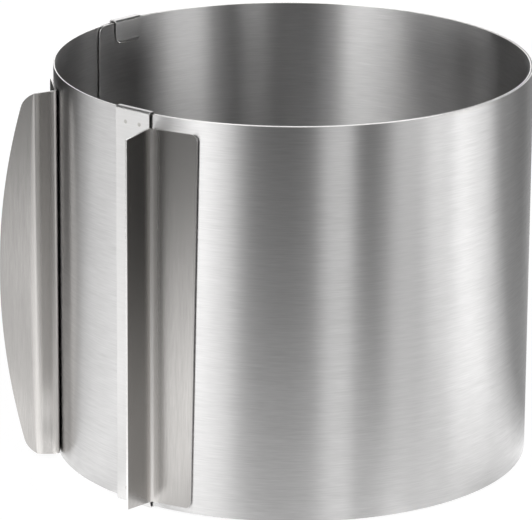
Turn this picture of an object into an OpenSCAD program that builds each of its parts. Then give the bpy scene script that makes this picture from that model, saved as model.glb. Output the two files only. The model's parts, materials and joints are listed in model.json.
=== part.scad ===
// Adjustable cake ring: one long spring-steel strip wound round itself, with a
// handle near the middle of the strip, a second handle at its outer end, and a
// folded guide strip at each end that clasps both rims and keeps the turns together.
// Angles are taken clockwise from the front of the ring, seen from above.

/* [Band] */
// Outside diameter of the ring across its outer turn, as it is set
ring_d = 181; // [160:1:200]
// Height of the band
ring_h = 150; // [80:1:180]
// Thickness of the band's sheet
band_t = 0.5; // [0.4:0.05:0.7]
// Running gap between the two turns of the band
turn_gap = 0.3; // [0.3:0.05:0.6]

/* [Ends of the strip] */
// Where the strip's inner end lies
inner_end_angle = 124.5; // [122:0.5:132]
// How far the strip's far side laps over its inner end
lap_angle = 2; // [1:0.5:3]
// Depth by which the inner end tucks inside the turn that laps it
tuck_depth = 0.7; // [0.65:0.05:0.9]
// Angle over which the inner end draws in
tuck_angle = 40; // [30:1:50]
// Radius of the corners of the inner end
end_corner_r = 3; // [1:0.5:5]
// How far the outer end stops short of its guide's edge
end_cover = 0.6; // [0.2:0.1:2]

/* [Guides] */
// Width of a guide strip
guide_w = 16; // [10:0.5:18]
// Thickness of the guide's sheet
guide_t = 0.5; // [0.4:0.05:0.8]
// Gap along the band between the front guide and the right handle's bend
guide_side_gap = 0.1; // [0.1:0.05:1]
// Distance along the band from the inner end to the middle of its guide
rear_guide_inset = 14; // [10:0.5:20]
// Gap between the outer turn and the flat back of a guide
guide_gap = 0.3; // [0.3:0.05:0.6]
// Gap between a rim and the fold that goes over it
rim_gap = 0.3; // [0.25:0.05:0.6]
// Inside radius of the folds over the rims
fold_r = 0.5; // [0.3:0.05:0.6]
// Length of the tabs inside the ring, from the top of the fold
tab_l = 8; // [4:0.5:15]
// Inside radius of the curl at the tip of a tab
curl_r = 0.7; // [0.4:0.1:1.2]
// Diameter of the spot-weld marks
weld_d = 1.8; // [1:0.1:3]
// Depth of the spot-weld marks
weld_depth = 0.12; // [0.05:0.01:0.2]
// Distance between the two weld marks of a pair
weld_pitch = 6.5; // [4:0.5:8]
// Distance from a rim of the band to its pair of weld marks
weld_inset = 4.5; // [3:0.5:8]

/* [Handles] */
// Height of a handle
handle_h = 143; // [60:1:146]
// Height of the right handle's lower edge over the band's lower rim
right_handle_foot = 2.2; // [1:0.1:3]
// Height of the left handle's lower edge over the band's lower rim
left_handle_foot = 1.4; // [1:0.1:3]
// Thickness of the handles' sheet
handle_t = 0.8; // [0.6:0.1:1.2]
// Where the middle of the right handle's flange lies
right_handle_angle = 26.6; // [24:0.2:27]
// Where the middle of the left handle's flange lies
left_handle_angle = 80.8; // [80:0.2:88]
// Width of the flat flange that is welded to the band
flange_w = 18; // [12:0.5:20]
// How much narrower the right handle's flange is at its lower end
flange_taper = 2.7; // [0:0.1:4]
// Radius of the flange's free corners
flange_corner_r = 2.5; // [1:0.5:4]
// Lean of the webs towards the other handle
web_lean = 8; // [0:1:20]
// Width of the right handle's web, flat up to its edge
grip_w = 13.1; // [8:0.1:16]
// Width of the left handle's web, up to its lip
web_w = 6.1; // [4:0.1:10]
// Slope of the handles' ends, from the flange to the free edge
end_slope = 5; // [0:0.5:8]
// Turn of the left handle's lip back from its web
lip_flare = 32; // [15:1:60]
// Width of the lip at the middle of the handle
lip_w = 14.2; // [8:0.1:16]
// Width of the lip at the handle's ends
lip_end_w = 3.6; // [3.2:0.1:6]
// Radius of the lip's corners
lip_corner_r = 5; // [2:0.5:6]
// Inside radius of the bends
bend_r = 1.2; // [0.6:0.1:2.5]

/* [Hidden] */
$fn = 96;
steel = "#b9b7b2";
bright_steel = "#cfcdc8";
// Overrun of every cutting tool
over = 0.5;
// Widest steps along a computed arc, as an angle and as a length
arc_step_angle = 6;
arc_step = 3;

outer_r = ring_d / 2;                          // outside of the outer turn
inner_r = outer_r - 2 * band_t - turn_gap;     // inside of the inner turn
single_r = inner_r + band_t;                   // outside of the inner turn
foot_z = rim_gap + guide_t;                    // the band stands on the guides' folds
top_z = foot_z + ring_h;
total_h = top_z + rim_gap + guide_t;

// The inner end draws in on a smaller arc that is tangent to the inner turn.
tuck_shift = tuck_depth / (1 - cos(tuck_angle));
tuck_drift = asin(tuck_shift * sin(tuck_angle) / (inner_r - tuck_depth));
tuck_start_angle = inner_end_angle + tuck_angle - tuck_drift;
tuck_centre = tuck_shift * along(-90 - tuck_start_angle);

rear_guide_angle = inner_end_angle + arc_angle(rear_guide_inset, inner_r);

// The right handle's bend stands out over the guide's edge, so the guide lies closer to
// it by what the bend rises there.
fold_out_r = bend_r + handle_t;
guide_rise = guide_gap + guide_t;
bend_reach = sqrt(guide_rise * (2 * fold_out_r - guide_rise));
guide_offset = flange_w / 2 + bend_reach + guide_side_gap + guide_w / 2;
front_guide_angle = right_handle_angle + arc_angle(guide_offset, outer_r);
outer_end_angle = 360 + front_guide_angle + arc_angle(guide_w / 2 - end_cover, outer_r);

// The steel of the inner end under the rear guide lies inside the turn by this much.
rear_tuck = tuck_shift * (1 - cos(tuck_start_angle - rear_guide_angle + arc_angle(guide_w / 2, inner_r)));

web_angle = 90 - web_lean;
lip_angle = web_angle + lip_flare;

// The lip's edge is one shallow arc, with a fillet at each end.
lip_rise = lip_w - lip_end_w;
lip_arc_r = (pow(handle_h / 2, 2) + pow(lip_rise, 2)) / (2 * lip_rise);
lip_arc_x = lip_w - lip_arc_r;
fillet_reach = lip_arc_r - lip_corner_r;
fillet_angle = asin((handle_h / 2 - lip_corner_r) / fillet_reach);
fillet_x = lip_arc_x + fillet_reach * cos(fillet_angle);

// Centres of a handle's two bends, in its flange's frame: along the flange, then outwards.
web_centre = [flange_w / 2, fold_out_r];
lip_centre = web_centre + web_w * along(web_angle);
lip_foot = lip_centre + fold_out_r * along(lip_angle - 90);
lip_tips = [for (side = [0, handle_t])
    lip_foot + lip_w * along(lip_angle) + side * along(lip_angle + 90)];
grip_tips = [for (radius = [bend_r, fold_out_r])
    web_centre + grip_w * along(web_angle) + radius * along(web_angle - 90)];

// The part's origin is under the middle of its box.
left_reach = max([for (p = lip_tips) -on_ring(left_handle_angle, single_r, [-p[0], p[1]])[0]]);
front_reach = max(concat([outer_r],
    [for (p = grip_tips) -on_ring(right_handle_angle, outer_r, p)[1]]));
centre = [(outer_r - left_reach) / 2, (outer_r - front_reach) / 2];

function arc_angle(length, radius) = length / radius * 180 / PI;
function along(a) = [cos(a), sin(a)];
function turned(p, a) = [p[0] * cos(a) - p[1] * sin(a), p[0] * sin(a) + p[1] * cos(a)];
// Points of an arc, close enough for its bend and for its length
function arc(c, radius, from_a, to_a) =
    let (span = abs(to_a - from_a))
    let (steps = ceil(max(span / arc_step_angle, span * PI / 180 * radius / arc_step)))
    [for (i = [0:steps]) c + radius * along(from_a + (to_a - from_a) * i / steps)];
function reversed(list) = [for (i = [len(list) - 1:-1:0]) list[i]];
function tail(list) = [for (i = [1:len(list) - 1]) list[i]];
// A point of a flange's frame, seen from the ring's axis
function on_ring(a, radius, p) = turned([p[0], p[1] + radius], 180 - a);

// Puts the ring's axis at its place and the children at an angle round it:
// x runs clockwise along the wall, y runs outwards from the axis.
module on_axis() translate([-centre[0], -centre[1], 0]) children();
module on_wall(a) on_axis() rotate([0, 0, 180 - a]) children();

// What is cut away to round the inner end's corner at height z, upwards or downwards
module end_corner(z, up)
    translate([0, inner_r - tuck_shift - end_corner_r, z])
        mirror([0, 0, up ? 0 : 1])
            difference() {
                translate([-over, 0, -end_corner_r])
                    cube([end_corner_r + over, 2 * end_corner_r, end_corner_r + over]);
                translate([end_corner_r, -over, -end_corner_r])
                    rotate([-90, 0, 0])
                        cylinder(r = end_corner_r, h = 2 * (end_corner_r + over));
            }

// One face of the inner turn in plan: the tucked end's arc, then the full turn's
function inner_turn_face(side) = concat(
    arc(tuck_centre, inner_r - tuck_shift + side,
        tuck_angle - 90 - tuck_start_angle, -90 - tuck_start_angle),
    tail(arc([0, 0], inner_r + side, -90 - tuck_start_angle, -450 - inner_end_angle - lap_angle))
);

module inner_band()
    color(steel)
        on_axis()
            difference() {
                translate([0, 0, foot_z])
                    linear_extrude(ring_h)
                        polygon(concat(inner_turn_face(0), reversed(inner_turn_face(band_t))));
                translate(concat(tuck_centre, 0))
                    rotate([0, 0, 180 - tuck_start_angle + tuck_angle]) {
                        end_corner(top_z, true);
                        end_corner(foot_z, false);
                    }
            }

module outer_band()
    color(steel)
        on_axis()
            rotate([0, 0, -90 - outer_end_angle])
                rotate_extrude(angle = outer_end_angle - inner_end_angle, $fn = 180)
                    translate([outer_r - band_t, foot_z])
                        square([band_t, ring_h]);

// A rectangle with round corners, from its lowest to its highest corner
module round_rect(low, high, r) {
    translate([low[0] + r, low[1]])
        square([high[0] - low[0] - 2 * r, high[1] - low[1]]);
    translate([low[0], low[1] + r])
        square([high[0] - low[0], high[1] - low[1] - 2 * r]);
    for (x = [low[0] + r, high[0] - r], y = [low[1] + r, high[1] - r])
        translate([x, y])
            circle(r = r, $fn = 48);
}

// The curl at the tip of an inner tab, whose lower edge is at the origin
module tab_curl()
    translate([-guide_t - curl_r, 0])
        intersection() {
            difference() {
                circle(r = curl_r + guide_t, $fn = 48);
                circle(r = curl_r, $fn = 48);
            }
            translate([0, -curl_r - guide_t])
                square(curl_r + guide_t);
        }

// Section of a guide from the axis outwards: a flat back outside the band, a fold
// over each rim and a short tab inside. tab_y is the tabs' face towards the band.
module guide_section(tab_y) {
    back_y = outer_r + guide_gap;
    difference() {
        round_rect([tab_y - guide_t, 0], [back_y + guide_t, total_h], fold_r + guide_t);
        round_rect([tab_y, guide_t], [back_y, total_h - guide_t], fold_r);
        translate([tab_y - guide_t - over, tab_l])
            square([guide_t + over + fold_r, total_h - 2 * tab_l]);
    }
    translate([tab_y, total_h - tab_l])
        tab_curl();
    translate([tab_y, tab_l])
        mirror([0, 1])
            tab_curl();
}

// A guide strip at an angle, for a wall whose inside lies deeper by tuck
module guide(a, tuck)
    color(bright_steel)
        on_wall(a)
            difference() {
                rotate([90, 0, 90])
                    linear_extrude(guide_w, center = true)
                        guide_section(sqrt(pow(inner_r - tuck, 2) - pow(guide_w / 2, 2)) - turn_gap);
                for (x = [-1, 1], z = [foot_z + weld_inset, top_z - weld_inset])
                    translate([x * weld_pitch / 2, outer_r + guide_gap + guide_t - weld_depth, z])
                        rotate([-90, 0, 0])
                            cylinder(d = weld_d, h = weld_depth + over, $fn = 32);
            }

module front_guide() guide(front_guide_angle, 0);
module rear_guide() guide(rear_guide_angle, rear_tuck);

// Section of a handle's sheet: a flange, then the bends and flats whose two faces
// the list gives, the outer face first
module sheet_section(outer_face, inner_face)
    polygon(concat(
        [[-flange_w / 2, 0]], outer_face,
        reversed(inner_face), [[-flange_w / 2, handle_t]]
    ));

// One face of the right handle beyond its flange: a bend and a flat web
function grip_face(radius) = concat(
    arc(web_centre, radius, -90, web_angle - 90),
    [web_centre + grip_w * along(web_angle) + radius * along(web_angle - 90)]
);

// One face of the left handle beyond its flange: a bend, a web, a bend and a lip
function lip_face(radius, side) = concat(
    arc(web_centre, radius, -90, web_angle - 90),
    arc(lip_centre, radius, web_angle - 90, lip_angle - 90),
    [lip_foot + lip_w * along(lip_angle) + side * along(lip_angle + 90)]
);

// Outline of the lip in its own plane, with its foot at x = 0
module lip_outline()
    polygon(concat(
        [[fillet_x - lip_w, 0]],
        arc([fillet_x, lip_corner_r], lip_corner_r, -90, -fillet_angle),
        arc([lip_arc_x, handle_h / 2], lip_arc_r, -fillet_angle, fillet_angle),
        arc([fillet_x, handle_h - lip_corner_r], lip_corner_r, fillet_angle, 90),
        [[fillet_x - lip_w, handle_h]]
    ));

// What is cut off the lip to bow its edge
module lip_waste()
    translate([lip_foot[0], lip_foot[1], 0])
        rotate([0, 0, lip_angle])
            translate([0, handle_t + over, 0])
                rotate([90, 0, 0])
                    linear_extrude(handle_t + 2 * over)
                        difference() {
                            translate([fillet_x, -over])
                                square([lip_w + over - fillet_x, handle_h + 2 * over]);
                            lip_outline();
                        }

// What is cut off a flange to round its free corners and to taper it downwards
module flange_waste(taper)
    translate([-flange_w / 2, handle_t + over, 0])
        rotate([90, 0, 0])
            linear_extrude(handle_t + 2 * over)
                polygon(concat(
                    [[-over, -over], [taper + flange_corner_r, -over]],
                    arc([taper + flange_corner_r, flange_corner_r], flange_corner_r, -90, -180),
                    arc([flange_corner_r, handle_h - flange_corner_r], flange_corner_r, 180, 90),
                    [[flange_corner_r, handle_h + over], [-over, handle_h + over]]
                ));

// What is cut off a handle's lower end to slope it from the web's foot to reach along the web
module end_waste(reach)
    translate([web_centre[0], web_centre[1], 0])
        rotate([0, 0, web_angle])
            translate([0, reach, 0])
                rotate([90, 0, 0])
                    linear_extrude(2 * reach)
                        polygon([[0, 0], [reach, reach * tan(end_slope)], [reach, -over], [0, -over]]);

// A handle standing on z = 0, from its section, with sloped ends and round flange corners
module handle(reach, taper)
    difference() {
        linear_extrude(handle_h)
            children();
        flange_waste(taper);
        end_waste(reach);
        translate([0, 0, handle_h])
            mirror([0, 0, 1])
                end_waste(reach);
    }

module left_handle()
    color(bright_steel)
        on_wall(left_handle_angle)
            translate([0, single_r, foot_z + left_handle_foot])
                mirror([1, 0, 0])
                    difference() {
                        handle(web_w + lip_w + fold_out_r, 0)
                            sheet_section(lip_face(fold_out_r, 0), lip_face(bend_r, handle_t));
                        lip_waste();
                    }

module right_handle()
    color(bright_steel)
        on_wall(right_handle_angle)
            translate([0, outer_r, foot_z + right_handle_foot])
                handle(grip_w + fold_out_r, flange_taper)
                    sheet_section(grip_face(fold_out_r), grip_face(bend_r));

inner_band();
outer_band();
front_guide();
rear_guide();
left_handle();
right_handle();
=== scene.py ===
# %% [markdown]
# An adjustable cake ring in brushed steel.
# The real ring is one strip of thin spring steel, about a metre long, wound nearly twice round. Two
# folded handles are welded to it, and a folded guide strip at each of its ends clasps both rims.
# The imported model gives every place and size. It could be shown as it is, but its solids have hard
# edges and no grain. So each sheet is modelled again here as a sheet, with soft cut edges and
# smooth bends, and gets a brushed finish whose grain follows it.

# %% Load the frame
import json
import math

import bpy
from mathutils import Matrix, Vector


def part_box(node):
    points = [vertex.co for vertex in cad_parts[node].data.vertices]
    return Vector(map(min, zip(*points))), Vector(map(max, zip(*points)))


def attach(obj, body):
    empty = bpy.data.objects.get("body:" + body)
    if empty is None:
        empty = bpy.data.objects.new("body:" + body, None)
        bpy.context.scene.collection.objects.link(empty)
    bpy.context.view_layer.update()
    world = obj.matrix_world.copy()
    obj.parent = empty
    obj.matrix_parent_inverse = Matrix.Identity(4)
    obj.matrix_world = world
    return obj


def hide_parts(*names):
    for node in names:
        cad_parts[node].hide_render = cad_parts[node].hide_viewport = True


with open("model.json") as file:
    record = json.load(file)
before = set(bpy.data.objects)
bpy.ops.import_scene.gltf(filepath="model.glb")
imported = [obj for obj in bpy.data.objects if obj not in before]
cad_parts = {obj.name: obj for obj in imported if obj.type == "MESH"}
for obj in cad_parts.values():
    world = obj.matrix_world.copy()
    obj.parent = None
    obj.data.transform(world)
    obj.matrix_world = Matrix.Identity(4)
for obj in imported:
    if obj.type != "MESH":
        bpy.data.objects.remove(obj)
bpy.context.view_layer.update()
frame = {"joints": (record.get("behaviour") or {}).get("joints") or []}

# %% [markdown]
# Everything is measured from the ring's axis, which is the axis of the one joint. Angles run
# clockwise from the front of the ring, seen from above, as the strip's own winding does. The radii
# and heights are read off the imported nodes, so the dressed sheets lie where the solids do.

# %% Places read from the frame
MM = 0.001
axis = Vector(frame["joints"][0]["pos_m"])
outer_low, outer_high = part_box("outer_band")
outer_r = outer_high.x - axis.x
single_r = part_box("inner_band")[1].x - axis.x
foot_z = outer_low.z
top_z = outer_high.z
ring_h = top_z - foot_z
total_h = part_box("front_guide")[1].z
print(f"outer turn {outer_r / MM:.1f} mm, inner turn {single_r / MM:.1f} mm from the axis")
print(f"band {ring_h / MM:.1f} mm high")


# %% Points on the wall
def outwards(angle):
    """Unit vector from the axis at an angle in degrees."""
    a = math.radians(angle)
    return Vector((-math.sin(a), -math.cos(a), 0))


def on_wall(angle, radius, x, y, z):
    """A point of a wall's own frame: x clockwise along the wall, y outwards, z up."""
    away = outwards(angle)
    clockwise = Vector((away.y, -away.x, 0))
    return axis + clockwise * x + away * (radius + y) + Vector((0, 0, z))


def arc_angle(length, radius):
    return math.degrees(length / radius)


# %% [markdown]
# The camera stands where the photograph was taken from. It was found by fitting a camera to the
# ring's rim and foot: a long lens, about 1.6 m away, looking down by 18 degrees. Its place is kept
# relative to the ring's axis, so it holds if the origin moves.

# %% Camera
camera_offset = Vector((15.48, -1556.7, 567.2)) * MM
# Angles in radians: to the right, down and about the line of sight
camera_yaw = -0.016
camera_pitch = 0.3077
camera_roll = 0.0065
camera_lens = 290.2
sensor_width = 36


def make_camera():
    forward = Vector((
        math.sin(camera_yaw) * math.cos(camera_pitch),
        math.cos(camera_yaw) * math.cos(camera_pitch),
        -math.sin(camera_pitch),
    ))
    level = Vector((math.cos(camera_yaw), -math.sin(camera_yaw), 0))
    upright = level.cross(forward)
    right = math.cos(camera_roll) * level + math.sin(camera_roll) * upright
    up = math.cos(camera_roll) * upright - math.sin(camera_roll) * level
    camera = bpy.data.objects.new("camera", bpy.data.cameras.new("camera"))
    bpy.context.scene.collection.objects.link(camera)
    place = Matrix((right, up, -forward)).transposed().to_4x4()
    place.translation = axis + camera_offset
    camera.matrix_world = place
    camera.data.lens = camera_lens
    camera.data.sensor_width = sensor_width
    bpy.context.scene.camera = camera
    return camera


camera = make_camera()
print("camera at", [round(v, 3) for v in camera.location])

# %% [markdown]
# Materials and shapes are both built from nodes here. These helpers add a node, set or link its
# sockets by name, and do one step of arithmetic, so that a tree reads as a short list of steps.

# %% Node tools
def add_node(tree, kind, sockets=None, **properties):
    """A new node, with its properties set and its sockets linked or set."""
    node = tree.nodes.new(kind)
    for name, value in properties.items():
        setattr(node, name, value)
    for key, value in (sockets or {}).items():
        if isinstance(value, bpy.types.NodeSocket):
            tree.links.new(value, node.inputs[key])
        else:
            node.inputs[key].default_value = value
    return node


def math_socket(tree, operation, first, second=0.0, third=0.0):
    sockets = {0: first, 1: second, 2: third}
    return add_node(tree, "ShaderNodeMath", sockets, operation=operation).outputs[0]


# %% [markdown]
# Brushed steel is thousands of fine scratches that all run one way. They blur reflections across
# the grain and leave them sharp along it, which is what an anisotropic metal does. The grain could
# be a picture, but noise on the sheet's own UV map has no seams and no limit of sharpness. That map
# is in metres along and up the sheet, and the noise is stretched far along the grain and squeezed
# across it. A fine layer gives the scratches, a coarser one the streaks that the eye sees from a
# step away, and a cloudy one the faint unevenness of handled steel.

# %% Grain of brushed steel
# Cells per metre along and across the grain, the noise's detail, and where in the noise it starts
scratch_grain = (130, 2300, 2, 3.1)
streak_grain = (45, 900, 2, 7.7)
cloud_grain = (14, 40, 3, 12.3)


def grain_noise(tree, uv, upright, grain):
    along, across, detail, start = grain
    mapping = add_node(tree, "ShaderNodeMapping", {
        "Vector": uv, "Location": (start, start / 2, start / 3),
        "Scale": (across, along, 1) if upright else (along, across, 1),
    })
    noise = add_node(tree, "ShaderNodeTexNoise", {
        "Vector": mapping.outputs["Vector"], "Scale": 1, "Detail": detail,
    })
    return noise.outputs["Fac"]


def new_steel(name):
    """A metal material, with its tree and its shader."""
    material = bpy.data.materials.new(name)
    material.use_nodes = True
    tree = material.node_tree
    steel = tree.nodes["Principled BSDF"]
    steel.inputs["Metallic"].default_value = 1
    return material, tree, steel


def tint_steel(tree, steel, tone, lightness):
    """The steel's tone, lighter and darker from place to place."""
    tint = add_node(tree, "ShaderNodeVectorMath", {0: tone, "Scale": lightness}, operation="SCALE")
    tree.links.new(tint.outputs["Vector"], steel.inputs["Base Color"])


# %% Brushed steel
relief_depth = 0.02 * MM
turn_across = 0.25
crease_roughness = 0.14


def brushed_steel(
    name, tone, roughness, anisotropy, upright, fine, streak, cloud, bump, crease_highlight=0,
):
    """Steel brushed along the sheet, or upwards where upright is true."""
    material, tree, steel = new_steel(name)
    steel.inputs["Anisotropic"].default_value = anisotropy
    steel.inputs["Anisotropic Rotation"].default_value = 0 if upright else turn_across
    uv = add_node(tree, "ShaderNodeUVMap", uv_map="UVMap").outputs["UV"]
    tangent = add_node(tree, "ShaderNodeTangent", direction_type="UV_MAP", uv_map="UVMap")
    tree.links.new(tangent.outputs["Tangent"], steel.inputs["Tangent"])
    scratches = grain_noise(tree, uv, upright, scratch_grain)
    streaks = grain_noise(tree, uv, upright, streak_grain)
    clouds = grain_noise(tree, uv, upright, cloud_grain)
    total = None
    for layer, weight in ((scratches, fine), (streaks, streak), (clouds, cloud)):
        centred = math_socket(tree, "SUBTRACT", layer, 0.5)
        part = math_socket(tree, "MULTIPLY", centred, weight)
        total = part if total is None else math_socket(tree, "ADD", total, part)
    # A lighter place is also a smoother one
    lightness = math_socket(tree, "ADD", total, 1.0)
    smoothness = math_socket(tree, "SUBTRACT", 1.0, total)
    rough = math_socket(tree, "MULTIPLY", smoothness, roughness)
    if crease_highlight:
        # A painted highlight lightens the steel along each bend, and the bend is also made a little
        # rougher
        bend = add_node(tree, "ShaderNodeAttribute", attribute_name="bend").outputs["Fac"]
        painted_highlight = math_socket(tree, "MULTIPLY", bend, crease_highlight)
        coarse = math_socket(tree, "MULTIPLY", bend, crease_roughness)
        lightness = math_socket(tree, "ADD", lightness, painted_highlight)
        rough = math_socket(tree, "ADD", rough, coarse)
    tint_steel(tree, steel, tone, lightness)
    tree.links.new(rough, steel.inputs["Roughness"])
    relief = add_node(tree, "ShaderNodeBump", {
        "Height": math_socket(tree, "ADD", scratches, streaks),
        "Strength": bump, "Distance": relief_depth,
    })
    tree.links.new(relief.outputs["Normal"], steel.inputs["Normal"])
    return material


# %% [markdown]
# Three brushed finishes. The band is brushed lengthwise in the coil, before it is cut, so its grain
# runs round the ring and draws reflections out into tall bands. The handles are brushed upwards and
# handled most, so they are darker, smoother and cloudier. The guides are narrow strips with a
# short, pale grain across them. One function makes all three, because only these values differ.

# %% Steel finishes
band_steel = brushed_steel(
    "brushed_band", (0.60, 0.595, 0.593), 0.33, 1.0,
    upright=False, fine=0.26, streak=0.14, cloud=0.05, bump=0.3,
)
# The handles' steel gets a painted highlight along its bends, as well as a rougher finish there
handle_steel = brushed_steel(
    "brushed_handle", (0.43, 0.418, 0.405), 0.21, 0.3,
    upright=True, fine=0.20, streak=0.14, cloud=0.16, bump=0.25, crease_highlight=0.5,
)
guide_steel = brushed_steel(
    "brushed_guide", (0.62, 0.615, 0.61), 0.34, 0.9,
    upright=False, fine=0.14, streak=0.08, cloud=0.08, bump=0.2,
)

# %% [markdown]
# A sheared edge is brighter than the brushed face and finely torn, with no lengthwise grain. A weld
# mark is duller, because the heat greyed it. Both are small, so one fine noise on Object
# coordinates is enough for them.

# %% Cut edges and weld marks
tear_cells = 900
tear_detail = 2
tear_contrast = 0.2


def cut_steel(name, tone, roughness):
    material, tree, steel = new_steel(name)
    steel.inputs["Roughness"].default_value = roughness
    noise = add_node(tree, "ShaderNodeTexNoise", {
        "Vector": add_node(tree, "ShaderNodeTexCoord").outputs["Object"],
        "Scale": tear_cells, "Detail": tear_detail,
    })
    lightness = math_socket(
        tree, "MULTIPLY_ADD", noise.outputs["Fac"], tear_contrast, 1 - tear_contrast / 2,
    )
    tint_steel(tree, steel, tone, lightness)
    return material


cut_edge = cut_steel("cut_edge", (0.78, 0.77, 0.76), 0.25)
weld_steel = cut_steel("weld_mark", (0.46, 0.45, 0.43), 0.40)
print("materials:", [m.name for m in bpy.data.materials])

# %% [markdown]
# A sheet-metal part is one face of the sheet plus its thickness. It could be a solid with every
# edge modelled, but a grid of points on its outer face is easier to bend and to map. Solidify then
# gives it its thickness inwards, and a small Bevel rounds the sheared edges, because a real edge is
# never razor sharp: that thin bright line round every piece is what makes it read as metal.

# %% Sheet tools
edge_round = 0.11 * MM
edge_segments = 2
sharpest_smooth_angle = 50


def finish_sheet(piece, thickness, steel):
    """Thickness, soft edges and the two steels: the brushed faces and the cut edge."""
    mesh = piece.data
    mesh.materials.clear()
    mesh.materials.append(steel)
    mesh.materials.append(cut_edge)
    for polygon in mesh.polygons:
        polygon.use_smooth = True
    solid = piece.modifiers.new("thickness", "SOLIDIFY")
    solid.thickness = thickness
    solid.offset = -1
    solid.use_even_offset = True
    solid.material_offset_rim = 1
    soft = piece.modifiers.new("soft_edges", "BEVEL")
    soft.width = edge_round
    soft.segments = edge_segments
    soft.limit_method = "ANGLE"
    soft.angle_limit = math.radians(sharpest_smooth_angle)
    soft.harden_normals = True


def sheet_from_grid(name, points, uvs):
    """A mapped mesh from rows of points.

    Its faces look along the cross product of a step in a row and a step to the next row.
    """
    rows, columns = len(points), len(points[0])
    vertices = [tuple(p) for row in points for p in row]
    faces, corners = [], []
    for i in range(rows - 1):
        for j in range(columns - 1):
            ring = [(i, j), (i, j + 1), (i + 1, j + 1), (i + 1, j)]
            faces.append([a * columns + b for a, b in ring])
            corners += [uvs[a][b] for a, b in ring]
    mesh = bpy.data.meshes.new(name)
    mesh.from_pydata(vertices, [], faces)
    layer = mesh.uv_layers.new(name="UVMap")
    for corner, uv in zip(layer.data, corners):
        corner.uv = uv
    piece = bpy.data.objects.new(name, mesh)
    bpy.context.scene.collection.objects.link(piece)
    return piece


# %% [markdown]
# Geometry Nodes suit what follows a rule or repeats, because a named input holds each size. This
# class keeps their trees short. It ends a tree with real geometry and a material, builds it with
# given values, and leaves a plain mesh behind.

# %% Geometry Nodes tools
class Tree:
    """A Geometry Nodes tree with named inputs, and short ways to add nodes to it."""

    def __init__(self, name, inputs):
        self.group = bpy.data.node_groups.new(name, "GeometryNodeTree")
        sockets = self.group.interface
        sockets.new_socket("Geometry", in_out="OUTPUT", socket_type="NodeSocketGeometry")
        for label, kind in inputs.items():
            sockets.new_socket(label, in_out="INPUT", socket_type=kind)
        self.inputs = self.group.nodes.new("NodeGroupInput").outputs
        self.output = self.group.nodes.new("NodeGroupOutput")

    def node(self, kind, sockets=None, **properties):
        return add_node(self.group, kind, sockets, **properties)

    def math(self, operation, first, second=0.0, third=0.0):
        return math_socket(self.group, operation, first, second, third)

    def vector(self, x, y, z):
        return self.node("ShaderNodeCombineXYZ", {"X": x, "Y": y, "Z": z}).outputs[0]

    def finish(self, geometry, material):
        """Ends the tree: no instances are left, and the surface has its material."""
        real = self.node("GeometryNodeRealizeInstances", {"Geometry": geometry}).outputs[0]
        dressed = self.node("GeometryNodeSetMaterial", {"Geometry": real, "Material": material})
        self.group.links.new(dressed.outputs[0], self.output.inputs[0])

    def build(self, name, values):
        """A plain mesh object made by the tree with these values for its inputs."""
        piece = bpy.data.objects.new(name, bpy.data.meshes.new(name))
        bpy.context.scene.collection.objects.link(piece)
        modifier = piece.modifiers.new("shape", "NODES")
        modifier.node_group = self.group
        for item in self.group.interface.items_tree:
            if item.in_out == "INPUT":
                modifier[item.identifier] = values[item.name]
        graph = bpy.context.evaluated_depsgraph_get()
        mesh = bpy.data.meshes.new_from_object(piece.evaluated_get(graph), depsgraph=graph)
        piece.modifiers.remove(modifier)
        piece.data = mesh
        mesh.name = name
        return piece


# %% [markdown]
# The strip. Its wall is a curve with a plain rule: it runs round at a constant radius, and near its
# inner end it draws in on a slightly smaller arc, to tuck behind the turn that laps it. It could be
# a swept curve, but then the round corners of its end would have to be cut. So a flat grid is bent
# by the rule in Geometry Nodes, and a row starts later where the corner is rounded away. Rows crowd
# towards the rims, where those corners need them.

# %% Strip sizes
band_t = 0.5 * MM
inner_end_angle = 124.5
tuck_depth = 0.7 * MM
tuck_angle = 40
inner_r = single_r - band_t
tuck_shift = tuck_depth / (1 - math.cos(math.radians(tuck_angle)))
tuck_drift = math.degrees(math.asin(
    tuck_shift * math.sin(math.radians(tuck_angle)) / (inner_r - tuck_depth)
))
tuck_start_angle = inner_end_angle + tuck_angle - tuck_drift
print(f"the strip draws in over {tuck_start_angle - inner_end_angle:.1f} degrees")


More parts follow.
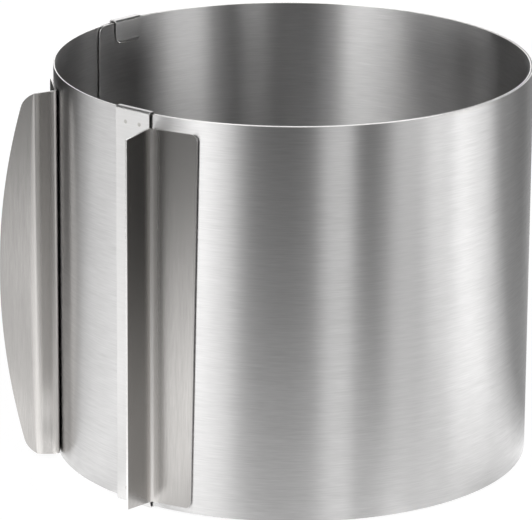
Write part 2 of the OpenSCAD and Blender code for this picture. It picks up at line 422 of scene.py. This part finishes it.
# %% Node tree for a turn of the strip
def make_turn_tree():
    number, whole = "NodeSocketFloat", "NodeSocketInt"
    tree = Tree("wound_turn", {
        "Axis": "NodeSocketVector", "Radius": number, "Height": number, "Foot": number,
        "Start": number, "End": number, "Corner radius": number, "Tuck shift": number,
        "Tuck start": number, "Steps": whole, "Levels": whole, "Steel": "NodeSocketMaterial",
    })
    size = tree.inputs
    corner_r = size["Corner radius"]
    grid = tree.node("GeometryNodeMeshGrid", {
        "Size X": 1.0, "Size Y": 1.0, "Vertices X": size["Steps"], "Vertices Y": size["Levels"],
    })
    position = tree.node("GeometryNodeInputPosition").outputs[0]
    flat = tree.node("ShaderNodeSeparateXYZ", {0: position})
    along = tree.math("ADD", flat.outputs["X"], 0.5)
    level = tree.math("ADD", flat.outputs["Y"], 0.5)
    # Rows crowd towards both rims, as a cosine does at its ends
    swing = tree.math("COSINE", tree.math("MULTIPLY", level, math.pi))
    share = tree.math("MULTIPLY_ADD", swing, -0.5, 0.5)
    height = tree.math("MULTIPLY", share, size["Height"])
    # The strip starts later where its corner is rounded away
    to_rim = tree.math("MINIMUM", height, tree.math("SUBTRACT", size["Height"], height))
    drop = tree.math("MAXIMUM", tree.math("SUBTRACT", corner_r, to_rim), 0.0)
    chord = tree.math(
        "SUBTRACT", tree.math("POWER", corner_r, 2.0), tree.math("POWER", drop, 2.0),
    )
    rounded = tree.math("SQRT", tree.math("MAXIMUM", chord, 0.0))
    inset = tree.math("SUBTRACT", corner_r, rounded)
    start = tree.math("ADD", size["Start"], tree.math("DIVIDE", inset, size["Radius"]))
    span = tree.math("SUBTRACT", size["End"], start)
    angle = tree.math("MULTIPLY_ADD", span, along, start)
    # Before the tuck's start the strip follows a smaller arc, tangent to the turn there
    tucked = tree.math("LESS_THAN", angle, size["Tuck start"])
    shift = tree.math("MULTIPLY", tucked, size["Tuck shift"])
    radius = tree.math("SUBTRACT", size["Radius"], shift)

    def around(reach, turn):
        x = tree.math("MULTIPLY", reach, tree.math("SINE", turn))
        y = tree.math("MULTIPLY", reach, tree.math("COSINE", turn))
        return tree.math("MULTIPLY", x, -1.0), tree.math("MULTIPLY", y, -1.0)

    x, y = around(radius, angle)
    shift_x, shift_y = around(shift, size["Tuck start"])
    z = tree.math("ADD", height, size["Foot"])
    place = tree.vector(tree.math("ADD", x, shift_x), tree.math("ADD", y, shift_y), z)
    place = tree.node("ShaderNodeVectorMath", {0: place, 1: size["Axis"]}, operation="ADD")
    # The UV map is the sheet laid flat, in metres
    laid_flat = tree.vector(tree.math("MULTIPLY", angle, size["Radius"]), height, 0.0)
    mapped = tree.node(
        "GeometryNodeStoreNamedAttribute",
        {"Geometry": grid.outputs["Mesh"], "Name": "UVMap", "Value": laid_flat},
        data_type="FLOAT2", domain="CORNER",
    )
    bent = tree.node("GeometryNodeSetPosition", {
        "Geometry": mapped.outputs[0], "Position": place.outputs[0],
    })
    # Bending the grid turned its upper side inwards
    faced = tree.node("GeometryNodeFlipFaces", {"Mesh": bent.outputs[0]})
    tree.finish(faced.outputs[0], size["Steel"])
    return tree


turn_tree = make_turn_tree()
print("the turn's tree has", len(turn_tree.group.nodes), "nodes")

# %% [markdown]
# The two turns. On the real ring they are one strip. Here each is a piece of its own, because the
# turns slide in each other. The inner turn carries the strip's inner end, with its round corners,
# and runs full circle until it laps over that end. The outer turn lies on it from there to the
# front guide, whose place follows from the right handle beside it.

# %% Where the turns end
guide_w = 16 * MM
guide_t = 0.5 * MM
guide_gap = 0.3 * MM
guide_side_gap = 0.1 * MM
guide_rise = guide_gap + guide_t
handle_t = 0.8 * MM
bend_r = 1.2 * MM
fold_out_r = bend_r + handle_t
flange_w = 18 * MM
right_handle_angle = 26.6
end_cover = 0.6 * MM
bend_reach = math.sqrt(guide_rise * (2 * fold_out_r - guide_rise))
guide_offset = flange_w / 2 + bend_reach + guide_side_gap + guide_w / 2
front_guide_angle = right_handle_angle + arc_angle(guide_offset, outer_r)
outer_end_angle = 360 + front_guide_angle + arc_angle(guide_w / 2 - end_cover, outer_r)
print(f"front guide at {front_guide_angle:.1f} degrees")

# %% Inner and outer turn
lap_angle = 2
# The inner end reaches this much further than its solid, to where the photograph has it
end_reach = 3.8
end_corner_r = 3 * MM
steps_per_turn = 400
levels = 33


def make_turn(name, radius, start, end, corner, shift, body):
    turn = turn_tree.build(name, {
        "Axis": axis, "Radius": radius, "Height": ring_h, "Foot": foot_z,
        "Start": math.radians(start), "End": math.radians(end), "Corner radius": corner,
        "Tuck shift": shift, "Tuck start": math.radians(tuck_start_angle),
        "Steps": round(steps_per_turn * (end - start) / 360), "Levels": levels,
        "Steel": band_steel,
    })
    finish_sheet(turn, band_t, band_steel)
    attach(turn, body)
    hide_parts(name.replace("strip_", "") + "_band")
    print(name, len(turn.data.polygons), "faces on its outer side")


make_turn(
    "strip_inner", single_r, inner_end_angle - end_reach, 360 + inner_end_angle + lap_angle,
    end_corner_r, tuck_shift, "inner_turn",
)
make_turn(
    "strip_outer", outer_r, inner_end_angle, outer_end_angle, 0.0, 0.0, "outer_turn",
)

# %% [markdown]
# Guides and handles are both folded in a press, along straight lines. So each is drawn as a path,
# which is the section that the press gives it, and the path is repeated across the piece. These
# helpers draw a path's arcs, measure it for the UV map and round a piece's corners.

# %% Paths of folded sheets
def arc_points(centre, radius, start, end, steps):
    """Points of an arc in a section's plane, from one angle to another in degrees."""
    turns = [math.radians(start + (end - start) * k / steps) for k in range(steps + 1)]
    return [(centre[0] + radius * math.cos(a), centre[1] + radius * math.sin(a)) for a in turns]


def path_lengths(path):
    """Distance along a path at each of its points."""
    lengths = [0.0]
    for (x0, y0), (x1, y1) in zip(path, path[1:]):
        lengths.append(lengths[-1] + math.hypot(x1 - x0, y1 - y0))
    return lengths


def corner_inset(from_end, radius):
    """How far a round corner lies in from the side, at a distance from the piece's end."""
    if from_end >= radius:
        return 0.0
    return radius - math.sqrt(max(radius ** 2 - (radius - from_end) ** 2, 0.0))


# %% [markdown]
# The guides are strips of the same steel, folded over both rims, so that they clasp the turns and
# slide on them. A guide's path runs up its flat back, over the top fold and down a short tab whose
# tip curls away from the band. Both guides are one function. The rear one stands where the strip
# draws in, so its tabs lie a little nearer the axis.

# %% Guide sizes
fold_r = 0.5 * MM
tab_l = 8 * MM
curl_r = 0.7 * MM
tab_corner_r = 3 * MM
turn_gap = outer_r - single_r - band_t
rear_guide_inset = 14 * MM
# Taken off one edge of the rear guide, to bring its tab nearer to its place in the photograph
rear_trim = 2.5 * MM
rear_guide_angle = inner_end_angle + arc_angle(rear_guide_inset, inner_r)
rear_edge_angle = rear_guide_angle - arc_angle(guide_w / 2, inner_r)
rear_tuck = tuck_shift * (1 - math.cos(math.radians(tuck_start_angle - rear_edge_angle)))
print(f"rear guide at {rear_guide_angle:.1f} degrees, drawn in by {rear_tuck / MM:.2f} mm")

# %% Guide path
fold_steps = 8
tab_steps = 6
back_steps = 8


def guide_path(tuck):
    """A guide's outer face from its lower curl to its upper one: reach from the axis, height."""
    back_y = outer_r + guide_rise
    tab_y = math.sqrt((inner_r - tuck) ** 2 - (guide_w / 2) ** 2) - turn_gap - guide_t
    corner = fold_r + guide_t
    tab_foot = total_h - tab_l
    outer_fold = arc_points((back_y - corner, total_h - corner), corner, 0, 90, fold_steps)
    inner_fold = arc_points((tab_y + corner, total_h - corner), corner, 90, 180, fold_steps)
    tab = [
        (tab_y, tab_foot + (tab_l - corner) * k / tab_steps)
        for k in range(tab_steps - 1, 0, -1)
    ]
    curl = arc_points((tab_y - curl_r, tab_foot), curl_r, 0, -90, fold_steps)
    upper = outer_fold + inner_fold + tab + curl
    lower = [(y, total_h - z) for y, z in reversed(upper)]
    back = [(back_y, total_h * k / back_steps) for k in range(1, back_steps)]
    return lower + back + upper


# %% Front and rear guide
guide_columns = 10


def make_guide(name, angle, tuck, right_edge, body):
    path = guide_path(tuck)
    lengths = path_lengths(path)
    points, uvs = [], []
    for (y, z), length in zip(path, lengths):
        inset = corner_inset(min(length, lengths[-1] - length), tab_corner_r)
        left, right = inset - guide_w / 2, right_edge - inset
        columns = [left + (right - left) * k / guide_columns for k in range(guide_columns + 1)]
        points.append([on_wall(angle, 0, x, y, z) for x in columns])
        uvs.append([(x, length) for x in columns])
    guide = sheet_from_grid(name + "_sheet", points, uvs)
    guide.data.flip_normals()
    finish_sheet(guide, guide_t, guide_steel)
    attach(guide, body)
    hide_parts(name)
    print(name, f"{lengths[-1] / MM:.0f} mm of strip")


make_guide("front_guide", front_guide_angle, 0.0, guide_w / 2, "outer_turn")
make_guide("rear_guide", rear_guide_angle, rear_tuck, guide_w / 2 - rear_trim, "inner_turn")

# %% [markdown]
# Two small electrodes pinch each end of a guide onto the band, and each leaves a faint round mark.
# It could be painted on, but a flat round spot catches the light as the real one does. A mark
# repeats, so Geometry Nodes place it: a grid of points on the guide's back carries a spot on each.

# %% Node tree for weld marks
spot_segments = 24
spot_rings = 10


def make_weld_tree():
    number = "NodeSocketFloat"
    tree = Tree("weld_marks", {
        "Diameter": number, "Rise": number, "Pitch": number, "Spread": number,
        "Middle": "NodeSocketVector", "Turn": "NodeSocketVector", "Steel": "NodeSocketMaterial",
    })
    size = tree.inputs
    grid = tree.node("GeometryNodeMeshGrid", {
        "Size X": size["Pitch"], "Size Y": size["Spread"], "Vertices X": 2, "Vertices Y": 2,
    })
    ball = tree.node("GeometryNodeMeshUVSphere", {
        "Segments": spot_segments, "Rings": spot_rings, "Radius": 0.5,
    })
    thickness = tree.math("MULTIPLY", size["Rise"], 2.0)
    flat = tree.vector(size["Diameter"], size["Diameter"], thickness)
    spot = tree.node("GeometryNodeTransform", {"Geometry": ball.outputs["Mesh"], "Scale": flat})
    spots = tree.node("GeometryNodeInstanceOnPoints", {
        "Points": grid.outputs["Mesh"], "Instance": spot.outputs[0],
    })
    placed = tree.node("GeometryNodeTransform", {
        "Geometry": spots.outputs[0], "Translation": size["Middle"], "Rotation": size["Turn"],
    })
    tree.finish(placed.outputs[0], size["Steel"])
    return tree


weld_tree = make_weld_tree()

# %% Weld marks on both guides
weld_d = 1.5 * MM
weld_rise = 0.05 * MM
weld_pitch = 6.5 * MM
weld_inset = 4.5 * MM


def make_weld_marks(name, angle, body):
    away = outwards(angle)
    across = Vector((-away.y, away.x, 0))
    turn = Matrix((across, Vector((0, 0, 1)), away)).transposed().to_euler()
    marks = weld_tree.build(name, {
        "Diameter": weld_d, "Rise": weld_rise, "Pitch": weld_pitch,
        "Spread": ring_h - 2 * weld_inset,
        "Middle": on_wall(angle, outer_r, 0, guide_rise, (foot_z + top_z) / 2),
        "Turn": Vector(turn), "Steel": weld_steel,
    })
    for polygon in marks.data.polygons:
        polygon.use_smooth = True
    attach(marks, body)
    print(name, len(marks.data.polygons), "faces")


make_weld_marks("front_weld_marks", front_guide_angle, "outer_turn")
make_weld_marks("rear_weld_marks", rear_guide_angle, "inner_turn")

# %% [markdown]
# The handles are folded from heavier sheet. Each has a flat flange on the band and a web that
# stands out from it. The left one's web ends in a lip with a bowed edge, turned back from the other
# handle. They could be boxes joined with booleans, but one grid has smooth bends and a grain that
# runs on through them. A row of it is the section at one height. Only its two free ends change from
# row to row: the flange's corners are rounded there, and the lip's edge follows its bow.

# %% Handle sizes
left_handle_angle = 80.8
handle_h = 143 * MM
right_handle_foot = 2.2 * MM
left_handle_foot = 1.4 * MM
flange_taper = 2.7 * MM
flange_corner_r = 2.5 * MM
web_lean = 8
web_angle = 90 - web_lean
grip_w = 13.1 * MM
web_w = 6.1 * MM
end_slope = 5
lip_flare = 32
lip_angle = web_angle + lip_flare
lip_w = 14.2 * MM
lip_end_w = 3.6 * MM
lip_corner_r = 5 * MM
lip_least_w = 0.2 * MM
lip_rise = lip_w - lip_end_w
lip_arc_r = ((handle_h / 2) ** 2 + lip_rise ** 2) / (2 * lip_rise)
print(f"the lip's edge is an arc of {lip_arc_r / MM:.0f} mm radius")


# %% Edges that change with height
def to_nearest_end(z):
    return min(z, handle_h - z)


def flange_start(z, taper):
    """The flange's free edge, which a tapered flange has further in at its foot."""
    narrowing = taper * (1 - z / handle_h)
    return (-flange_w / 2 + narrowing + corner_inset(to_nearest_end(z), flange_corner_r), 0.0)


def lip_width(z):
    """Width of the lip at a height: a shallow arc with round ends."""
    off_middle = z - handle_h / 2
    bow = lip_w - lip_arc_r + math.sqrt(lip_arc_r ** 2 - off_middle ** 2)
    return bow - corner_inset(to_nearest_end(z), lip_corner_r)


# %% Sections of the handles
bend_steps = 10
flat_steps = 6
web_steps = 4


def step_from(point, angle, length):
    a = math.radians(angle)
    return point[0] + math.cos(a) * length, point[1] + math.sin(a) * length


def spread(start, end, steps):
    """Points from start to end, without the end itself."""
    return [
        tuple(a + (b - a) * k / steps for a, b in zip(start, end))
        for k in range(steps)
    ]


fold_foot = (flange_w / 2, 0.0)
fold_centre = (flange_w / 2, fold_out_r)
fold = arc_points(fold_centre, fold_out_r, -90, web_angle - 90, bend_steps)
lip_centre = step_from(fold_centre, web_angle, web_w)
lip_fold = arc_points(lip_centre, fold_out_r, web_angle - 90, lip_angle - 90, bend_steps)


def right_section(z):
    """The right handle's outer face at one height, from the flange's edge to the web's."""
    flange = spread(flange_start(z, flange_taper), fold_foot, flat_steps)
    edge = step_from(fold[-1], web_angle, grip_w)
    return flange + fold[:-1] + spread(fold[-1], edge, flat_steps) + [edge]


def left_section(z):
    """The left handle's outer face at one height, from the flange's edge to the lip's."""
    flange = spread(flange_start(z, 0.0), fold_foot, flat_steps)
    web = spread(fold[-1], lip_fold[0], web_steps)
    edge = step_from(lip_fold[-1], lip_angle, max(lip_width(z), lip_least_w))
    lip = spread(lip_fold[-1], edge, flat_steps) + [edge]
    return flange + fold[:-1] + web + lip_fold[:-1] + lip


# %% [markdown]
# Each bend of a handle gets a painted highlight: its steel is made lighter there, and a little
# rougher, so the bends read as bright creases. The handles' material can't see where the bends are,
# so the mesh tells it: an attribute is 1 at the points of a bend and 0 on the flats. It could be
# painted by hand, but the path's own angle gives it exactly.

# %% Both handles
handle_rows = 72
least_bend = 1.5


def sloped(z, y):
    """Height of a point of the section, squeezed by the slope of the handle's ends."""
    reach = max(y - fold_out_r, 0.0) * math.tan(math.radians(end_slope))
    return reach + z * (handle_h - 2 * reach) / handle_h


def bend_weights(path):
    """1 at the points of a path where it turns, 0 where it runs straight."""
    weights = [0.0]
    for (x0, y0), (x1, y1), (x2, y2) in zip(path, path[1:], path[2:]):
        turn = math.atan2(y2 - y1, x2 - x1) - math.atan2(y1 - y0, x1 - x0)
        weights.append(1.0 if abs(math.degrees(turn)) > least_bend else 0.0)
    return weights + [0.0]


def make_handle(name, section, angle, radius, foot, mirror, body):
    side = -1 if mirror else 1
    points, uvs, bends = [], [], []
    for row in range(handle_rows + 1):
        # Rows crowd towards the handle's ends, where its corners are
        z = handle_h * (1 - math.cos(math.pi * row / handle_rows)) / 2
        path = section(z)
        points.append([
            on_wall(angle, radius, side * x, y, foot + sloped(z, y)) for x, y in path
        ])
        uvs.append([(length, z) for length in path_lengths(path)])
        bends += bend_weights(path)
    handle = sheet_from_grid(name + "_sheet", points, uvs)
    # This attribute places the painted highlight along the bends
    handle.data.attributes.new("bend", "FLOAT", "POINT").data.foreach_set("value", bends)
    if mirror:
        handle.data.flip_normals()
    finish_sheet(handle, handle_t, handle_steel)
    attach(handle, body)
    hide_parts(name)
    print(name, len(handle.data.polygons), "faces on its outer side")


make_handle(
    "right_handle", right_section, right_handle_angle, outer_r,
    foot_z + right_handle_foot, False, "outer_turn",
)
make_handle(
    "left_handle", left_section, left_handle_angle, single_r,
    foot_z + left_handle_foot, True, "inner_turn",
)

# %% [markdown]
# The studio. A brushed cylinder shows whatever stands round it as upright bands, so the light is
# arranged by direction: soft panels with dark gaps between them, as in a photographer's light tent.
# Area lamps could do it, but their edges would be hard and each band would need one. Here a tent
# and a table round the ring glow by their own materials, and the camera sees neither. Each list
# below gives a direction in degrees, clockwise from the front seen from above, and the brightness
# there.

# %% Brightness by direction
# The tent above the rim, which lights the inside of the wall
high_panels = [
    (-180, 2.2), (-164, 0.2), (-145, 0.02), (-116, 0.02), (-88, 0.02), (-76, 0.9), (-66, 3.0),
    (-52, 3.2), (-42, 0.1), (-29, 0.1), (-25, 0.9), (-18, 0.8), (-8, 0.1), (10, 0.1), (23, 0.4),
    (29, 2.9), (54, 2.3), (62, 0.1), (84, 0.3), (104, 0.02), (130, 0.02), (160, 0.2), (180, 2.2),
]
# The tent's foot, level with the ring, which the brushed wall blurs into its reflections
low_panels = [
    (-180, 1.0), (-153, 0.65), (-134, 0.35), (-111, 0.7), (-94, 2.2), (-84, 2.9), (-72, 1.7),
    (-58, 0.1), (-50, 0.0), (-31, 0.03), (-26, 1.7), (-19, 1.5), (-9, 0.15), (0, 0.0), (15, 0.02),
    (26, 0.4), (40, 1.7), (44, 1.7), (50, 0.9), (56, 0.9), (62, 1.8), (75, 1.8), (100, 1.5),
    (110, 0.9), (120, 0.1), (140, 0.03), (152, 0.2), (180, 1.0),
]
# The same panels mirrored in the table, which is what a camera that looks down sees in the wall
table_panels = [
    (-180, 1.0), (-153, 0.65), (-134, 0.35), (-114, 0.4), (-98, 1.7), (-84, 2.0), (-70, 1.1),
    (-54, 0.02), (-34, 0.03), (-27, 0.5), (-17, 0.4), (-9, 0.05), (0, 0.02), (15, 0.05), (26, 0.5),
    (40, 1.6), (44, 1.5), (50, 0.6), (56, 0.7), (62, 1.6), (75, 1.6), (100, 1.3),
    (110, 0.8), (120, 0.1), (140, 0.03), (152, 0.2), (180, 1.0),
]
# The table close to the ring, which the wall's lower part mirrors
near_panels = [
    (-180, 0.7), (-150, 0.2), (-104, 0.1), (-82, 0.7), (-40, 0.75), (0, 0.95), (54, 0.9), (66, 0.7),
    (96, 0.45), (150, 0.4), (180, 0.7),
]
# The table inside the ring
inner_panels = [
    (-180, 0.2), (-148, 0.01), (44, 0.01), (58, 3.6), (78, 3.6), (94, 0.01), (118, 0.01),
    (134, 1.4), (150, 1.4), (166, 0.2), (180, 0.2),
]

# %% Node tools for the studio
# A ramp's colours are kept between 0 and 1, so a level is stored as a share of this one
top_level = 8


def round_the_axis(tree):
    """A point's share of the full turn, its height and its place, seen from the ring's axis."""
    place = add_node(tree, "ShaderNodeTexCoord").outputs["Object"]
    centred = add_node(tree, "ShaderNodeVectorMath", {0: place, 1: axis}, operation="SUBTRACT")
    split = add_node(tree, "ShaderNodeSeparateXYZ", {0: centred.outputs[0]}).outputs
    leftwards = math_socket(tree, "MULTIPLY", split["X"], -1.0)
    forwards = math_socket(tree, "MULTIPLY", split["Y"], -1.0)
    turn = math_socket(tree, "ADD", math_socket(tree, "ARCTAN2", leftwards, forwards), math.pi)
    return math_socket(tree, "MULTIPLY", turn, 0.5 / math.pi), split["Z"], centred.outputs[0]


def panel_ramp(tree, share, panels):
    ramp = add_node(tree, "ShaderNodeValToRGB", {"Fac": share})
    ramp.color_ramp.interpolation = "EASE"
    stops = ramp.color_ramp.elements
    for index, (direction, level) in enumerate(panels):
        position = (direction + 180) / 360
        # A new ramp already has its first two stops
        stop = stops[index] if index < 2 else stops.new(position)
        stop.position = position
        stop.color = (level / top_level, level / top_level, level / top_level, 1)
    return math_socket(tree, "MULTIPLY", ramp.outputs["Color"], top_level)


def smooth_range(tree, value, low, high, to_low=0.0, to_high=1.0):
    fade = add_node(tree, "ShaderNodeMapRange", {
        "Value": value, "From Min": low, "From Max": high, "To Min": to_low, "To Max": to_high,
    }, interpolation_type="SMOOTHSTEP")
    return fade.outputs[0]


def between(tree, share, low, high):
    """A value that goes from low to high as the share goes from 0 to 1."""
    step = math_socket(tree, "SUBTRACT", high, low)
    return math_socket(tree, "ADD", low, math_socket(tree, "MULTIPLY", share, step))


def seen_rays(tree):
    """1 for the rays that show a surface, and 0 for those that only carry its light."""
    rays = add_node(tree, "ShaderNodeLightPath").outputs
    seen = math_socket(tree, "MAXIMUM", rays["Is Camera Ray"], rays["Is Glossy Ray"])
    return math_socket(tree, "MAXIMUM", seen, rays["Is Transmission Ray"])


def mix_shaders(tree, share, first, second):
    mix = add_node(tree, "ShaderNodeMixShader", {"Fac": share, 1: first, 2: second})
    return mix.outputs[0]


def glow(tree, level):
    return add_node(tree, "ShaderNodeEmission", {"Strength": level}).outputs[0]


# %% Pieces of the studio
def dress_stage(piece, name, finish_name, make_surface):
    """Names a stage piece and gives it a material whose surface the function makes."""
    piece.name = name
    material = bpy.data.materials.new(finish_name)
    material.use_nodes = True
    tree = material.node_tree
    tree.nodes.clear()
    add_node(tree, "ShaderNodeOutputMaterial", {"Surface": make_surface(tree)})
    piece.data.materials.append(material)


def disc(radius, vertices):
    bpy.ops.mesh.primitive_circle_add(vertices=vertices, radius=radius, fill_type="NGON")
    return bpy.context.object


def lift(piece, height):
    """Centres a piece on the ring's axis, at a height over the floor."""
    piece.data.transform(Matrix.Translation(axis + Vector((0, 0, height))))


def hide(piece, *kinds_of_ray):
    for kind in kinds_of_ray:
        setattr(piece, "visible_" + kind, False)


# %% Tent
tent_r = 1.1
tent_h = 2.4
tent_foot = 0.01
low_panels_top = 0.16
high_panels_foot = 0.34
low_panels_gain = 1.6
ceiling_level = 0.35


def tent_surface(tree):
    share, height, _ = round_the_axis(tree)
    low = math_socket(tree, "MULTIPLY", panel_ramp(tree, share, low_panels), low_panels_gain)
    high = panel_ramp(tree, share, high_panels)
    rise = smooth_range(tree, height, low_panels_top, high_panels_foot)
    return glow(tree, between(tree, rise, low, high))


bpy.ops.mesh.primitive_cylinder_add(
    vertices=128, radius=tent_r, depth=tent_h, end_fill_type="NOTHING",
)
tent = bpy.context.object
lift(tent, tent_foot + tent_h / 2)
hide(tent, "camera", "shadow")
dress_stage(tent, "light_tent", "tent_panels", tent_surface)

# The tent's dim top keeps the white room out of the ring
ceiling = disc(tent_r, 64)
lift(ceiling, tent_foot + tent_h)
hide(ceiling, "camera", "shadow")
dress_stage(ceiling, "tent_top", "tent_top", lambda tree: glow(tree, ceiling_level))
print(f"tent {tent_r:.1f} m round the ring, {tent_h:.1f} m high")

# %% [markdown]
# The floor is white paper. Mixed with it is a white glow for the camera and for reflections only,
# so the floor looks as white as the photograph's and still keeps a little of the ring's shadow.

# %% Floor
floor_r = 6
paper_tone = (0.8, 0.8, 0.8, 1)
white_level = 1.15
white_share = 0.8


def floor_surface(tree):
    paper = add_node(tree, "ShaderNodeBsdfDiffuse", {"Color": paper_tone}).outputs[0]
    share = math_socket(tree, "MULTIPLY", seen_rays(tree), white_share)
    return mix_shaders(tree, share, paper, glow(tree, white_level))


floor = disc(floor_r, 96)
dress_stage(floor, "floor", "white_floor", floor_surface)
print(f"floor {2 * floor_r} m across")

# %% [markdown]
# The table light is a thin disc just over the floor. Only reflections see it. It shows the panels
# as a polished table would: strong a step away, softer near the ring, where the floor's own white
# comes through, and fading further out.

# %% Table light
table_lift = 0.4 * MM
# Each zone is a pair of distances from the axis in metres, between which a value changes
near_zone = (0.12, 0.40)
near_softening = 0.5
cover_zone = (0.10, 0.45)
near_cover = 0.8
fading_zone = (0.30, 0.60)
far_level = 0.2


def table_surface(tree):
    share, _, centred = round_the_axis(tree)
    distance = add_node(tree, "ShaderNodeVectorMath", {0: centred}, operation="LENGTH")
    reach = distance.outputs["Value"]
    nearness = smooth_range(tree, reach, *near_zone, 1.0, 0.0)
    softening = math_socket(tree, "MULTIPLY", nearness, near_softening)
    contrast = math_socket(tree, "SUBTRACT", 1.0, softening)
    far = math_socket(tree, "MULTIPLY", panel_ramp(tree, share, table_panels), contrast)
    near = math_socket(tree, "MULTIPLY", nearness, panel_ramp(tree, share, near_panels))
    fading = smooth_range(tree, reach, *fading_zone, 1.0, far_level)
    around = math_socket(tree, "MULTIPLY", math_socket(tree, "ADD", far, near), fading)
    inside = math_socket(tree, "LESS_THAN", reach, single_r)
    level = between(tree, inside, around, panel_ramp(tree, share, inner_panels))
    outside_cover = smooth_range(tree, reach, *cover_zone, near_cover, 1.0)
    cover = math_socket(tree, "MAXIMUM", outside_cover, inside)
    clear = add_node(tree, "ShaderNodeBsdfTransparent").outputs[0]
    return mix_shaders(tree, cover, clear, glow(tree, level))


table_light = disc(tent_r, 96)
lift(table_light, table_lift)
hide(table_light, "camera", "diffuse", "shadow")
dress_stage(table_light, "table_light", "table_panels", table_surface)
print(f"table light {table_lift / MM:.1f} mm over the floor")

# %% [markdown]
# The world is the white room behind everything. It lights the scene a little less than white, and
# shows as full white to the camera and in reflections.

# %% World
room_level = 0.7
seen_extra = 0.3


def make_world():
    world = bpy.data.worlds.new("studio")
    bpy.context.scene.world = world
    world.use_nodes = True
    tree = world.node_tree
    background = tree.nodes["Background"]
    background.inputs["Color"].default_value = (1, 1, 1, 1)
    extra = math_socket(tree, "MULTIPLY", seen_rays(tree), seen_extra)
    tree.links.new(math_socket(tree, "ADD", extra, room_level), background.inputs["Strength"])


make_world()
bpy.context.scene.view_settings.view_transform = "Standard"
print("the room's light is", room_level, "and it shows as", room_level + seen_extra)
